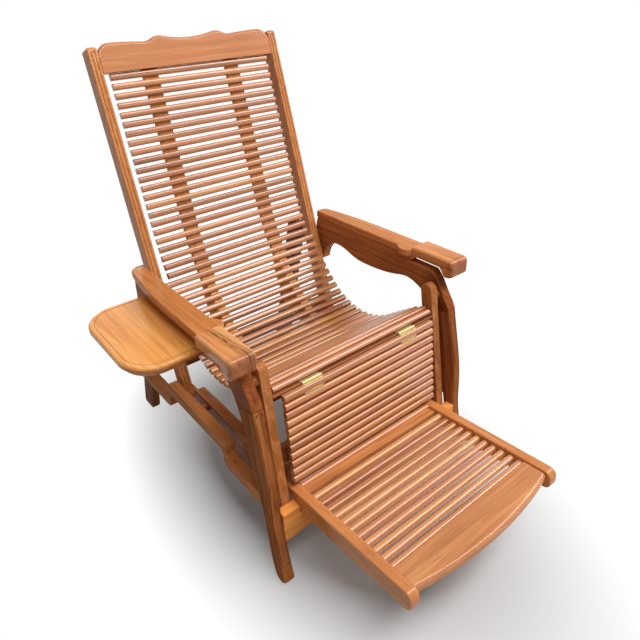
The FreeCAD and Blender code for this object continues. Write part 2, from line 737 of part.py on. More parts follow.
# Calf panel, hung from the hinge line: slats on two battens
calf_turn = -d.calf_lean
calf_back = 0.5
calf_top = -d.knuckle_radius - 0.3
calf_slats = 11
calf_drop = hinge_z - footrest_line(hinge_y) - d.calf_clearance
calf_length = calf_drop / (cosine(d.calf_lean) + sine(d.calf_lean) * tangent(d.footrest_slope))
calf_pitch = (calf_length + calf_top - d.slat_width) / (calf_slats - 1)


def calf_body(label):
    body = new_body(label)
    place(body, hinge_y, hinge_z, calf_turn)
    return body


body = calf_body("calf_slats")
half = d.slat_width / 2
slat = Outline(calf_back, calf_top)
slat.line(calf_back, calf_top - d.slat_width)
corner(slat, calf_back - d.slat_height, calf_top - d.slat_width, d.slat_round, (1, 0), (0, 1), SLAT_FLATS)
corner(slat, calf_back - d.slat_height, calf_top, d.slat_round, (0, -1), (1, 0), SLAT_FLATS)
slat.close()
pad = add_pad(body, new_sketch(body, "YZ_Plane", slat.pieces), f"2 * ({POST_INNER} - dims.calf_slat_gap)")
row = body.newObject("PartDesign::LinearPattern", "Row")
row.Originals = [pad]
row.Direction = (origin_feature(body, "Z_Axis"), [""])
row.Reversed = True
row.setExpression("Length", str((calf_slats - 1) * calf_pitch))
row.Occurrences = calf_slats
body.Tip = row

batten_top = calf_top - 5.5
batten_low = 3.0 - calf_length
for side, sign in (("left", "-"), ("right", "")):
    body = calf_body(f"calf_batten_{side}")
    batten = Outline(calf_back, batten_top)
    batten.line(calf_back + d.calf_batten_thick, batten_top)
    batten.line(calf_back + d.calf_batten_thick, batten_low)
    batten.line(calf_back, batten_low)
    batten.close()
    add_pad(body, new_sketch(body, "YZ_Plane", batten.pieces), "dims.calf_batten_width")
    inset = "dims.hinge_width / 2 + dims.calf_batten_width / 2 + 4"
    body.setExpression(".Placement.Base.x", f"{sign}({HINGE_CENTRE} - ({inset}))")

# Lower cross rail between the posts, which the hanging calf panel rests against
stop_top, stop_low = 262.0, 238.0
stop_thick = 18.0
stop_reach = (calf_back + d.calf_batten_thick) / cosine(d.calf_lean) + d.slide_gap
stop_front = hinge_y - (hinge_z - stop_top) * tangent(d.calf_lean) + stop_reach
stop = Outline(stop_front, stop_low)
stop.line(stop_front + stop_thick, stop_low).line(stop_front + stop_thick, stop_top)
stop.line(stop_front, stop_top).close()
cross_board("lower_cross_rail", stop, STILE_INNER)

# Footrest, built on its own sloping line
footrest_turn = -d.footrest_slope
rail_round = 16.0
slat_under = d.footrest_slat_drop + d.slat_height
footrest_inner = footrest_half - d.footrest_rail_thick


def footrest_body(label):
    body = new_body(label)
    place(body, 0, d.footrest_z, footrest_turn)
    return body


for side, sign in (("left", "-"), ("right", "")):
    body = footrest_body(f"footrest_rail_{side}")
    rail = Outline(d.footrest_rear_y, 0)
    rail.line(d.footrest_rear_y, -d.footrest_rail_depth)
    corner(rail, d.footrest_front_y, -d.footrest_rail_depth, rail_round, (1, 0), (0, 1))
    corner(rail, d.footrest_front_y, 0, rail_round, (0, -1), (1, 0))
    rail.close()
    add_pad(body, new_sketch(body, "YZ_Plane", rail.pieces), "dims.footrest_rail_thick")
    body.setExpression(".Placement.Base.x", f"{sign}({FOOTREST_HALF} - dims.footrest_rail_thick / 2)")

FOOTREST_WIDTH = f"2 * ({FOOTREST_HALF} - dims.footrest_rail_thick)"
footrest_slats = 11
front_board_rear = d.footrest_front_y + 63.0
first_footrest_slat = front_board_rear + 8.6 + (footrest_slats - 1) * d.footrest_pitch
body = footrest_body("footrest_slats")
half = d.slat_width / 2
slat = Outline(first_footrest_slat - half, -slat_under)
slat.line(first_footrest_slat + half, -slat_under)
corner(slat, first_footrest_slat + half, -d.footrest_slat_drop, d.slat_round, (0, -1), (-1, 0), SLAT_FLATS)
corner(slat, first_footrest_slat - half, -d.footrest_slat_drop, d.slat_round, (1, 0), (0, -1), SLAT_FLATS)
slat.close()
pad = add_pad(body, new_sketch(body, "YZ_Plane", slat.pieces), FOOTREST_WIDTH)
row = body.newObject("PartDesign::LinearPattern", "Row")
row.Originals = [pad]
row.Direction = (origin_feature(body, "Y_Axis"), [""])
row.Reversed = True
row.setExpression("Length", f"{footrest_slats - 1} * dims.footrest_pitch")
row.Occurrences = footrest_slats
body.Tip = row


def footrest_cross(label, y_low, y_high, z_low, z_high, soften=2.0):
    """A cross piece of the footrest, its upper edges rounded."""
    body = footrest_body(label)
    piece = Outline(y_low, z_low)
    piece.line(y_high, z_low)
    corner(piece, y_high, z_high, soften, (0, -1), (-1, 0))
    corner(piece, y_low, z_high, soften, (1, 0), (0, -1))
    piece.close()
    add_pad(body, new_sketch(body, "YZ_Plane", piece.pieces), FOOTREST_WIDTH)


footrest_step = 22.4
rear_board_front = first_footrest_slat + footrest_step
rear_board_width = 96.0
rear_board_under = -19.0
top_slat_front = rear_board_front + footrest_step / 2
tail_rail_width = 20.0
tail_rail_under = -38.0
footrest_cross("footrest_rear_board", rear_board_front, rear_board_front + rear_board_width, rear_board_under,
               -d.footrest_slat_drop)
footrest_cross("footrest_top_slat", top_slat_front, top_slat_front + d.slat_width, -d.footrest_slat_drop, 0.0,
               soften=d.slat_round)
footrest_cross("footrest_tail_rail", d.footrest_rear_y - tail_rail_width, d.footrest_rear_y, tail_rail_under,
               -d.footrest_slat_drop)
front_board_end = d.footrest_front_y + 11.0
front_board_tip = d.footrest_front_y - 11.0
front_board_thick = 18.0
front_board_under = front_board_thick + 4.0
body = footrest_body("footrest_front_board")
board = Outline(-footrest_inner, front_board_rear)
board.line(footrest_inner, front_board_rear)
board.line(footrest_inner, front_board_end)
board.arc(0, front_board_tip, -footrest_inner, front_board_end)
board.close()
add_pad(body, new_sketch(body, "XY_Plane", board.pieces), str(front_board_thick), "One side")
place(body, -front_board_under * sine(d.footrest_slope),
      d.footrest_z - front_board_under * cosine(d.footrest_slope), footrest_turn)

# Runners: channels on the inner faces of the guide rails that hold the footrest's tail
runner_front = post_rear(footrest_line(90)) + 8.0
runner_rear = stile_front(d.guide_bottom_z) - 3.0
runner_lip = 20.0
runner_wall = 10.0
runner_top = 50.0
for side, sign in (("left", -1), ("right", 1)):
    body = footrest_body(f"runner_{side}")
    groove_out = sign * (footrest_half + d.slide_gap)
    groove_in = sign * (footrest_half - runner_lip)
    back = sign * stile_inner
    low = -d.footrest_rail_depth - d.slide_gap
    channel = Outline(back, low - runner_wall)
    channel.line(groove_in, low - runner_wall).line(groove_in, low).line(groove_out, low)
    channel.line(groove_out, d.slide_gap).line(groove_in, d.slide_gap)
    channel.line(groove_in, d.slide_gap + runner_wall).line(groove_out, d.slide_gap + runner_wall)
    channel.line(groove_out, runner_top).line(back, runner_top).close()
    add_pad(body, new_sketch(body, "XZ_Plane", channel.pieces), str(runner_rear - runner_front), "One side",
            reverse=True)
    place(body, runner_front * cosine(d.footrest_slope),
          footrest_line(0) - runner_front * sine(d.footrest_slope), footrest_turn)

# Side tray beside the left arm: a board with two rounded corners and an edging underneath
tray_inner = -(side_outer + d.tray_joint)
tray_outer = -(side_outer + d.tray_reach)
tray_low = d.tray_top_z - d.tray_thick


def tray_outline(inset, start, radius):
    """The tray's outline, inset from its edge; start is the inner end's distance from the arm board."""
    outline = Outline(tray_inner - start, d.tray_front_y + inset)
    corner(outline, tray_outer + inset, d.tray_front_y + inset, radius, (1, 0), (0, 1))
    corner(outline, tray_outer + inset, d.tray_rear_y - inset, radius, (0, -1), (1, 0))
    return outline.line(tray_inner - start, d.tray_rear_y - inset)


body = new_body("tray")
sketch = new_sketch(body, "XY_Plane", tray_outline(0, 0, d.tray_corner).close().pieces)
add_pad(body, sketch, "dims.tray_thick", "One side")
place(body, 0, tray_low)
edge_inset, edge_width, edge_start = 10.0, 12.0, 45.0
edging = tray_outline(edge_inset, edge_start, d.tray_corner - edge_inset)
inner_edge = edge_inset + edge_width
inner_radius = d.tray_corner - inner_edge
edging.line(tray_inner - edge_start, d.tray_rear_y - inner_edge)
corner(edging, tray_outer + inner_edge, d.tray_rear_y - inner_edge, inner_radius, (1, 0), (0, -1))
corner(edging, tray_outer + inner_edge, d.tray_front_y + inner_edge, inner_radius, (0, 1), (1, 0))
edging.line(tray_inner - edge_start, d.tray_front_y + inner_edge).close()
body = new_body("tray_edging")
add_pad(body, new_sketch(body, "XY_Plane", edging.pieces), "dims.apron_depth", "One side")
place(body, 0, tray_low - d.apron_depth)


# Butt hinges. A half is drawn round its axis: run leads away along the leaf, off across it
KNUCKLE_FLATS = 12


def hinge_half(label, role, frame, near, leaf_start, leaf_end, centres, width, knuckles, bored, pinned=False,
               lip=None):
    """frame turns (run, off) into sketch coordinates; knuckles number the thirds of the width.

    lip, if there is one, is where the leaf's end turns up and how far."""
    body = new_body(label)
    far = near + d.leaf_thick
    radius = d.knuckle_radius
    tongue = leaf_start + 0.4
    for centre in centres:
        leaf = Outline(*frame(leaf_start, near))
        if lip:
            leaf.line(*frame(lip[0], near)).line(*frame(lip[0], near - lip[1])).line(*frame(leaf_end, near - lip[1]))
        leaf.line(*frame(leaf_end, near)).line(*frame(leaf_end, far)).line(*frame(leaf_start, far)).close()
        sketch = new_sketch(body, role, leaf.pieces)
        sketch.AttachmentOffset = FreeCAD.Placement(V(0, 0, centre), FreeCAD.Rotation())
        add_pad(body, sketch, str(width))
        for knuckle in knuckles:
            hook = Outline(*frame(tongue, far))
            hook.line(*frame(tongue, near))
            first_angle = math.degrees(math.asin(near / radius))
            last_angle = math.degrees(math.asin(min(1.0, far / radius)))
            for step in range(KNUCKLE_FLATS + 1):
                angle = first_angle - (360.0 - last_angle + first_angle) * step / KNUCKLE_FLATS
                hook.line(*frame(radius * cosine(angle), radius * sine(angle)))
            hook.close()
            if bored:
                hook.pieces.append(Part.Circle(V(0, 0, 0), V(0, 0, 1), d.pin_radius + d.hinge_play))
            sketch = new_sketch(body, role, hook.pieces)
            offset = centre + (knuckle - 1) * width / 3
            sketch.AttachmentOffset = FreeCAD.Placement(V(0, 0, offset), FreeCAD.Rotation())
            add_pad(body, sketch, str(width / 3 - 0.2))
        if pinned:
            sketch = new_sketch(body, role, [Part.Circle(V(0, 0, 0), V(0, 0, 1), d.pin_radius)])
            sketch.AttachmentOffset = FreeCAD.Placement(V(0, 0, centre), FreeCAD.Rotation())
            add_pad(body, sketch, str(width - 0.2))
    return body


fixed_knuckles = (0, 2)
moving_knuckles = (1,)
# The moving leaf's end turns forward between the calf panel's first two slats, where it shows
lip_start = d.slat_width - calf_top + d.slide_gap
lip_end = calf_pitch - calf_top - d.slide_gap
for side, sign in (("left", -1), ("right", 1)):
    centre = sign * hinge_centre
    body = hinge_half(f"calf_hinge_fixed_{side}", "YZ_Plane", lambda run, off: (run, -off), leaf_near,
                      d.knuckle_radius + 0.3, lip_rear - hinge_y - 0.2, [centre], d.hinge_width, fixed_knuckles,
                      bored=False, pinned=True)
    place(body, hinge_y, hinge_z)
    body = hinge_half(f"calf_hinge_moving_{side}", "YZ_Plane", lambda run, off: (off, -run), leaf_near,
                      d.knuckle_radius + 0.2, lip_end, [centre], d.hinge_width, moving_knuckles, bored=True,
                      lip=(lip_start, 7.5))
    place(body, hinge_y, hinge_z, calf_turn)

tray_hinge_off = 2.9
tray_hinge_near = tray_hinge_off - d.leaf_thick
tray_hinge_x = side_outer + tray_hinge_off
tray_hinge_z = tray_low - tray_hinge_off
tray_hinge_width = 40.0
tray_hinge_inset = 56.0
tray_hinge_centres = [-d.tray_front_y - tray_hinge_inset, tray_hinge_inset - d.tray_rear_y]
body = hinge_half("tray_hinges_fixed", "XZ_Plane", lambda run, off: (off, -run), tray_hinge_near,
                  d.knuckle_radius + 0.3, 16.0, tray_hinge_centres, tray_hinge_width, fixed_knuckles,
                  bored=False, pinned=True)
place(body, 0, tray_hinge_z, x=-tray_hinge_x)
body = hinge_half("tray_hinges_moving", "XZ_Plane", lambda run, off: (-run, off), tray_hinge_near,
                  d.knuckle_radius + 0.3, 22.0, tray_hinge_centres, tray_hinge_width, moving_knuckles,
                  bored=True)
place(body, 0, tray_hinge_z, x=-tray_hinge_x)

# Prop under the tray, pivoted in a bracket on the arm board's inner face
prop_y = (d.tray_front_y + d.tray_rear_y) / 2
prop_x = -side_inner - 12.0
prop_z = tray_low - 59.0
prop_round = d.prop_thick / 2
tip_z = tray_low - d.slide_gap - prop_round
prop_rise = math.degrees(math.asin((tip_z - prop_z) / d.prop_length))
prop = Outline(0, -prop_round)
prop.arc(prop_round, 0, 0, prop_round)
prop.line(-d.prop_length, prop_round)
prop.arc(-d.prop_length - prop_round, 0, -d.prop_length, -prop_round)
prop.close()
prop.pieces.append(Part.Circle(V(0, 0, 0), V(0, 0, 1), d.prop_pin_radius + d.hinge_play))
body = new_body("tray_prop")
add_pad(body, new_sketch(body, "XZ_Plane", prop.pieces), "dims.prop_width")
body.Placement = FreeCAD.Placement(V(prop_x, prop_y, prop_z), FreeCAD.Rotation(V(0, 1, 0), prop_rise))

bracket_cheek = 12.7
bracket_gap = d.prop_width / 2 + 0.3
bracket_wide = str(2 * (bracket_gap + bracket_cheek))
bracket_back = -side_inner + 6.0
bracket_nose = -side_inner - 19.0
bracket = Outline(-side_inner, prop_z + 46)
bracket.line(bracket_back, prop_z + 46)
bracket.line(bracket_back, prop_z - 9)
bracket.line(bracket_nose, prop_z - 9)
bracket.arc(bracket_nose - 6, prop_z, bracket_nose, prop_z + 11)
bracket.line(-side_inner, prop_z + 16)
bracket.close()
body = new_body("prop_bracket")
add_pad(body, new_sketch(body, "XZ_Plane", bracket.pieces), bracket_wide)
place(body, prop_y, 0)
doc.recompute()
between_cheeks = Outline(-side_inner - 40, prop_z - 24)
between_cheeks.line(-side_inner, prop_z - 24).line(-side_inner, prop_z + 21)
between_cheeks.line(-side_inner - 40, prop_z + 21).close()
add_pocket(body, new_sketch(body, "XZ_Plane", between_cheeks.pieces), str(2 * bracket_gap))
bore = [Part.Circle(V(prop_x, prop_z, 0), V(0, 0, 1), d.prop_pin_radius)]
add_pocket(body, new_sketch(body, "XZ_Plane", bore), bracket_wide)
body = new_body("prop_pin")
add_pad(body, new_sketch(body, "XZ_Plane", [Part.Circle(V(0, 0, 0), V(0, 0, 1), d.prop_pin_radius)]), bracket_wide)
place(body, prop_y, prop_z, x=prop_x)

doc.recompute()
for obj in doc.Objects:
    if any(state in obj.State for state in ("Invalid", "Error")):
        raise RuntimeError(f"{obj.Label}: {obj.State}")
for piece in parts:
    if piece.Shape.isNull() or not piece.Shape.isValid():
        raise RuntimeError(f"{piece.Label}: bad shape")

os.makedirs("parts", exist_ok=True)
for piece in parts:
    piece.Shape.exportStep(f"parts/{piece.Label}.step")
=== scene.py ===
import json
import math
import random
import bmesh
import bpy
from mathutils import Matrix, Vector


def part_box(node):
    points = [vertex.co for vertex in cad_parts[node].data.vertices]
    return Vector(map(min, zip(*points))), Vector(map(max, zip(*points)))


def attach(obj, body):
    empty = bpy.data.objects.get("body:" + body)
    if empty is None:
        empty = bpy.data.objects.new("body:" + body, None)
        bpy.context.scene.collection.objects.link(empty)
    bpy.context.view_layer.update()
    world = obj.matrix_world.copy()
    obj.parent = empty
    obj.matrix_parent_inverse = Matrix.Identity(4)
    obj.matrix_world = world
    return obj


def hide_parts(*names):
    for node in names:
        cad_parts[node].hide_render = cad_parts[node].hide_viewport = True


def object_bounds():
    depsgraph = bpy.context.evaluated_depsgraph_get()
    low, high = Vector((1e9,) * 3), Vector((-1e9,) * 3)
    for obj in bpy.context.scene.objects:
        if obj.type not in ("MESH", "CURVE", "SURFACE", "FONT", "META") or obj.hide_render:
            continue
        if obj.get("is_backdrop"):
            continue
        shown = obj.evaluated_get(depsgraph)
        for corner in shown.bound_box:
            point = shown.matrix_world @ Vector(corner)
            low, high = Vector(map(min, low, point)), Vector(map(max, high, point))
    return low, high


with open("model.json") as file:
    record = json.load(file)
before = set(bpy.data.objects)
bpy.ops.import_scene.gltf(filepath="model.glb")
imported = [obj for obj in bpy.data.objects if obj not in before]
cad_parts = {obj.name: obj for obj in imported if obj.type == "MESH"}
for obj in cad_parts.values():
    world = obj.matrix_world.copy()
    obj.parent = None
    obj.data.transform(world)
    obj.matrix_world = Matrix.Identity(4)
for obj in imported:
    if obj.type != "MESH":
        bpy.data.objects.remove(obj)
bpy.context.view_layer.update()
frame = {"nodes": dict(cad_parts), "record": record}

nodes = frame["nodes"]
body_of = {}
for body_name, members in frame["record"]["behaviour"]["bodies"].items():
    for member in members:
        body_of[member] = body_name


class Wire:
    """A node's output. A sum, difference or product with it adds a Math node."""

    def __init__(self, shading, socket):
        self.shading = shading
        self.socket = socket

    def reckon(self, operation, first, second):
        return self.shading.node("ShaderNodeMath", {"operation": operation}, {0: first, 1: second})

    def __add__(self, other):
        return self.reckon("ADD", self, other)

    def __radd__(self, other):
        return self.reckon("ADD", other, self)

    def __sub__(self, other):
        return self.reckon("SUBTRACT", self, other)

    def __rsub__(self, other):
        return self.reckon("SUBTRACT", other, self)

    def __mul__(self, other):
        return self.reckon("MULTIPLY", self, other)

    def __rmul__(self, other):
        return self.reckon("MULTIPLY", other, self)


class Shading:
    """The nodes of a material or of the world."""

    def __init__(self, tree):
        self.tree = tree

    def node(self, kind, settings=None, values=None, output=0):
        """A new node: its settings first, then a value or a wire for each socket named. Gives one output."""
        made = self.tree.nodes.new(kind)
        for key, value in (settings or {}).items():
            if key == "stops":
                ramp = made.color_ramp
                while len(ramp.elements) < len(value):
                    ramp.elements.new(0.5)
                for element, (position, colour) in zip(ramp.elements, value):
                    element.position = position
                    element.color = (*colour, 1.0)
            else:
                setattr(made, key, value)
        for key, value in (values or {}).items():
            if isinstance(value, Wire):
                self.lead(value, made.inputs[key])
            else:
                made.inputs[key].default_value = value
        return Wire(self, made.outputs[output])

    def lead(self, wire, socket):
        self.tree.links.new(wire.socket, socket)

    def place(self):
        return self.node("ShaderNodeTexCoord", output="Object")

    def marked(self, name):
        """A number that the vertices carry in the mesh."""
        return self.node("ShaderNodeAttribute", {"attribute_type": "GEOMETRY", "attribute_name": name},
                         output="Fac")

    def drawn_out(self, place, along, share):
        """The place shortened along one axis, which draws a pattern out along it."""
        stretch = tuple(share if axis == along else 1.0 for axis in "XYZ")
        return self.node("ShaderNodeVectorMath", {"operation": "MULTIPLY"}, {0: place, 1: stretch})

    def distance_along(self, axis):
        """How far the surface lies along a direction."""
        return self.node("ShaderNodeVectorMath", {"operation": "DOT_PRODUCT"}, {0: self.place(), 1: axis},
                         output="Value")

    def noise(self, place, scale, detail, rough=0.5, distortion=0.0):
        return self.node("ShaderNodeTexNoise", None,
                         {"Vector": place, "Scale": scale, "Detail": detail, "Roughness": rough,
                          "Distortion": distortion})

    def band(self, value, low, high, start=0.0, end=1.0):
        """start up to low and end from high on, sliding between them. low may be the larger of the two."""
        return self.node("ShaderNodeMapRange", None, {"Value": value, "From Min": low, "From Max": high,
                                                      "To Min": start, "To Max": end})

    def mix(self, factor, first, second, blend="MIX"):
        """Two colours mixed, each a wire or three numbers. Sockets 6 and 7 and output 2 are the colours."""
        first, second = ((*tint, 1.0) if isinstance(tint, tuple) else tint for tint in (first, second))
        return self.node("ShaderNodeMix", {"data_type": "RGBA", "blend_type": blend},
                         {0: factor, 6: first, 7: second}, output=2)

    def background_rays(self):
        """1 for the rays that show the background itself."""
        paths = [self.node("ShaderNodeLightPath", output=name)
                 for name in ("Is Camera Ray", "Is Glossy Ray", "Is Transmission Ray")]
        return self.node("ShaderNodeMath", {"operation": "ADD", "use_clamp": True},
                         {0: paths[0] + paths[1], 1: paths[2]})


class Finish(Shading):
    """A material on one Principled shader, whose constants are set on its own sockets."""

    def __init__(self, name, **constants):
        self.material = bpy.data.materials.new(name)
        self.material.use_nodes = True
        super().__init__(self.material.node_tree)
        self.shader = self.tree.nodes["Principled BSDF"]
        for key, value in constants.items():
            self.shader.inputs[key.replace("_", " ")].default_value = value

    def feed(self, **wires):
        for key, wire in wires.items():
            self.lead(wire, self.shader.inputs[key.replace("_", " ")])


# Colours of the wood, each as its dark, middle and pale tone. Some are darker copies that add painted shade,
# and the laths' tone a paler copy that adds painted light, on the pieces that take them
TEAK = (0.37, 0.118, 0.030), (0.57, 0.210, 0.061), (0.76, 0.340, 0.120)
ROSE = (0.40, 0.142, 0.053), (0.52, 0.200, 0.078), (0.66, 0.295, 0.130)
HONEY = (0.58, 0.192, 0.037), (0.84, 0.342, 0.082), (0.94, 0.485, 0.157)
UMBER = (0.080, 0.022, 0.006), (0.250, 0.078, 0.022), (0.400, 0.150, 0.050)
BARK_PAINTED_SHADE = (0.098, 0.028, 0.008), (0.320, 0.103, 0.030), (0.520, 0.205, 0.070)
TAN = (0.46, 0.185, 0.062), (0.74, 0.345, 0.130), (0.90, 0.500, 0.230)
FAWN = (0.34, 0.110, 0.032), (0.57, 0.225, 0.075), (0.74, 0.360, 0.150)
DUN = (0.22, 0.062, 0.016), (0.46, 0.165, 0.050), (0.66, 0.290, 0.105)
# The laths' tones are paler than the slats' wood: painted light on the laths and ribs, which stand in the
# slats' shade
LATH_PAINTED_LIGHT = (0.54, 0.225, 0.078), (0.82, 0.415, 0.165), (0.94, 0.570, 0.280)
SEAT = (0.30, 0.092, 0.022), (0.53, 0.200, 0.054), (0.72, 0.340, 0.124)
# The back and bucket slats' tones are the slats' wood made darker: painted shade for the shade under and
# between these slats
CASK_PAINTED_SHADE = (0.27, 0.086, 0.024), (0.47, 0.182, 0.056), (0.66, 0.320, 0.125)
OCHRE = (0.40, 0.130, 0.032), (0.68, 0.280, 0.090), (0.88, 0.460, 0.190)
# Where the three tones stand between the darkest and the palest wood
TONE_STOPS = 0.24, 0.52, 0.84
# Tints that set the planks of a row apart, and the tint of a darker part, partly stained end grain and
# partly painted shade
ROSY, GOLDEN, STAIN_AND_SHADE_TINT = (0.93, 0.76, 0.74), (1.0, 0.98, 0.78), (0.42, 0.27, 0.22)
BRIGHT_BRASS, DULL_BRASS = (0.70, 0.57, 0.29), (0.50, 0.36, 0.16)
# How much the growth rings, streaks, clouds and pores say in the tone
RINGS, STREAKS, CLOUD, PORES = 0.26, 0.66, 0.34, 0.30
# Scale of the patterns along the grain and along the brush marks, where it is 1 across them
GRAIN_SHARE, BRUSH_SHARE = 0.035, 0.04
# How far apart in the grain two pieces, and two planks of one piece, are taken, and which way
PIECE_STEP, PIECE_WAY, PLANK_WAY = 1.37, (0.37, 0.61, 0.23), (9.1, 5.3, 7.7)
# The dark veins, in metres: how far they wander, how far from their middle they start and are full;
# their phase in radians to a metre, and their lean off the block's length
VEIN_WANDER, VEIN_REACH, VEIN_CORE = 0.014, 0.013, 0.004
VEIN_PHASE, VEIN_LEAN = 700.0, 0.16


def dark_veins(f, colour, at, streaks, middle):
    """Broken dark veins about a line, with pale sapwood beyond it on the +X side."""
    wander = f.noise(at, scale=16.0, detail=2.0) * VEIN_WANDER
    drift = f.distance_along((1.0, VEIN_LEAN, 0.0)) + wander - (middle + VEIN_WANDER / 2)
    sapwood = f.band(drift, low=-0.004, high=0.010, end=0.45)
    colour = f.mix(sapwood, colour, TAN[2])
    away = f.node("ShaderNodeMath", {"operation": "ABSOLUTE"}, {0: drift})
    near = f.band(away, low=VEIN_REACH, high=VEIN_CORE)
    colour = f.mix(near * 0.62, colour, DUN[1])
    wave = f.node("ShaderNodeMath", {"operation": "SINE"}, {0: drift * VEIN_PHASE + streaks * 5.0})
    vein = f.band(wave, low=-0.60, high=0.90)
    broken = f.band(f.noise(at, scale=60.0, detail=3.0), low=0.40, high=0.58, start=0.25)
    return f.mix(vein * near * broken * 0.80, colour, UMBER[0])


def oiled_wood(name, along, turn, tones, seed, figure, spread, coat, rough, gloss, veins=None, stain_and_shade=None):
    """Oiled hardwood: streaks and pores drawn out along the grain, growth rings, and a hand-rubbed sheen.

    along is the grain's axis and turn leans it about X, in degrees. figure is how bold the rings are,
    spread how far the planks of a row differ. veins is where dark veins run, and stain darkens a part of
    the piece, partly as stained end grain and partly as painted shade: the direction in which it lies, where
    it starts and is full, and its strength."""
    f = Finish(name, Coat_Weight=coat, Coat_Roughness=0.17, Specular_IOR_Level=gloss)
    plank, hue = f.marked("plank_tone"), f.marked("plank_hue")
    at = f.node("ShaderNodeMapping", None,
                {"Vector": f.place(), "Location": tuple(seed * way for way in PIECE_WAY),
                 "Rotation": (math.radians(turn), 0.0, 0.0)})
    jump = f.node("ShaderNodeCombineXYZ", None, {0: plank * PLANK_WAY[0], 1: plank * PLANK_WAY[1],
                                                 2: hue * PLANK_WAY[2]})
    at = f.node("ShaderNodeVectorMath", {"operation": "ADD"}, {0: at, 1: jump})
    drawn = f.drawn_out(at, along, GRAIN_SHARE)
    rings = f.node("ShaderNodeTexWave", {"bands_direction": "DIAGONAL", "wave_profile": "SAW"},
                   {"Vector": drawn, "Scale": 17.0, "Distortion": 9.0, "Detail": 3.0, "Detail Scale": 1.4},
                   output="Fac")
    streaks = f.noise(drawn, scale=85.0, detail=6.0, rough=0.62, distortion=0.3)
    pores = f.noise(drawn, scale=420.0, detail=3.0, rough=0.55)
    cloud = f.noise(at, scale=4.5, detail=2.0)
    mean = (RINGS * figure + STREAKS + CLOUD + PORES) / 2
    tone = rings * (RINGS * figure) + streaks * STREAKS + cloud * CLOUD + pores * PORES - (mean - 0.5)
    tone = tone + plank * spread - spread / 2
    colour = f.node("ShaderNodeValToRGB", {"stops": list(zip(TONE_STOPS, tones))}, {"Fac": tone})
    rosy = f.band(hue, low=0.35, high=1.0, end=min(1.0, spread * 3.0))
    colour = f.mix(rosy, colour, ROSY, "MULTIPLY")
    golden = f.band(hue, low=0.5, high=0.0, end=min(0.9, spread * 3.4))
    colour = f.mix(golden, colour, GOLDEN, "MULTIPLY")
    pits = f.band(pores, low=0.40, high=0.31, end=0.50)
    colour = f.mix(pits, colour, tones[0])
    if veins is not None:
        colour = dark_veins(f, colour, at, streaks, veins)
    # Painted shade in the walls and floors of the routed grooves
    colour = f.mix(f.marked("groove") * 0.45, colour, UMBER[0])
    # A darker part of the piece: partly stained end grain, partly painted shade, such as the tray's lower
    # edge
    if stain_and_shade is not None:
        axis, start, full, strength = stain_and_shade
        stain_and_shade_mask = f.band(f.distance_along(axis), low=start, high=full, end=strength)
        colour = f.mix(stain_and_shade_mask, colour, STAIN_AND_SHADE_TINT, "MULTIPLY")
    relief = f.node("ShaderNodeBump", None, {"Strength": 0.22, "Distance": 0.0005,
                                             "Height": streaks * 0.4 + pores * 0.6})
    sheen = f.band(streaks, low=0.3, high=0.7, start=rough - 0.06, end=rough + 0.10)
    f.feed(Base_Color=colour, Roughness=sheen, Normal=relief)
    return f.material


def brushed_brass(name, along):
    """Cabinet brass, brushed along the strip and dulled in patches."""
    f = Finish(name, Metallic=1.0)
    brush = f.noise(f.drawn_out(f.place(), along, BRUSH_SHARE), scale=2600.0, detail=3.0)
    dull = f.noise(f.place(), scale=120.0, detail=4.0, rough=0.6)
    patch = f.band(dull, low=0.50, high=0.72, end=0.55)
    colour = f.mix(patch, BRIGHT_BRASS, DULL_BRASS)
    relief = f.node("ShaderNodeBump", None, {"Strength": 0.15, "Distance": 0.0002, "Height": brush})
    f.feed(Base_Color=colour, Roughness=brush * 0.10 + patch * 0.15 + 0.50, Normal=relief)
    return f.material


def give(obj, material):
    obj.data.materials.clear()
    obj.data.materials.append(material)


# Angles between two faces, in radians, from which an edge counts as square or as a corner
SQUARE, CORNER = 1.2, 0.9
# In degrees: faces within the first are one flat, and edges above the second stay crisp
FLAT, CRISP = 0.4, 42.0
WELD = 1e-6


def cut_away(bm, point, normal):
    """Saws off what lies beyond a plane and closes the cut."""
    geometry = bm.verts[:] + bm.edges[:] + bm.faces[:]
    cut = bmesh.ops.bisect_plane(bm, geom=geometry, dist=WELD, plane_co=point, plane_no=normal,
                                 clear_outer=True)
    edges = [e for e in cut["geom_cut"] if isinstance(e, bmesh.types.BMEdge)]
    bmesh.ops.holes_fill(bm, edges=edges, sides=0)


def round_over(bm, chosen, radius, segments, clamp=True):
    """Rounds the chosen edges, unless they lie open."""
    edges = [e for e in bm.edges if len(e.link_faces) == 2 and chosen(e)]
    bmesh.ops.bevel(bm, geom=edges, offset=radius, offset_type="OFFSET", affect="EDGES", segments=segments,
                    profile=0.5, material=-1, clamp_overlap=clamp)


def rout(bm, chosen, inset, width, depth, even=True):
    """A fine groove that runs round a surface, inset from its edge, its walls and floor marked for painted
    shade.
    """
    # Marks, from 0 to 1, where the groove gets its painted shade
    groove_shade = bm.verts.layers.float.new("groove")
    faces = [face for face in bm.faces if chosen(face)]
    margin, wall_down = (inset, 0.0, 0.0), (width * 0.25, -depth, 1.0)
    groove_floor, wall_up = (width * 0.5, 0.0, 1.0), (width * 0.25, depth, 0.0)
    for thickness, sink, mark in (margin, wall_down, groove_floor, wall_up):
        bmesh.ops.inset_region(bm, faces=faces, thickness=thickness, depth=sink, use_boundary=True,
                               use_even_offset=even)
        for face in faces:
            for vert in face.verts:
                vert[groove_shade] = mark


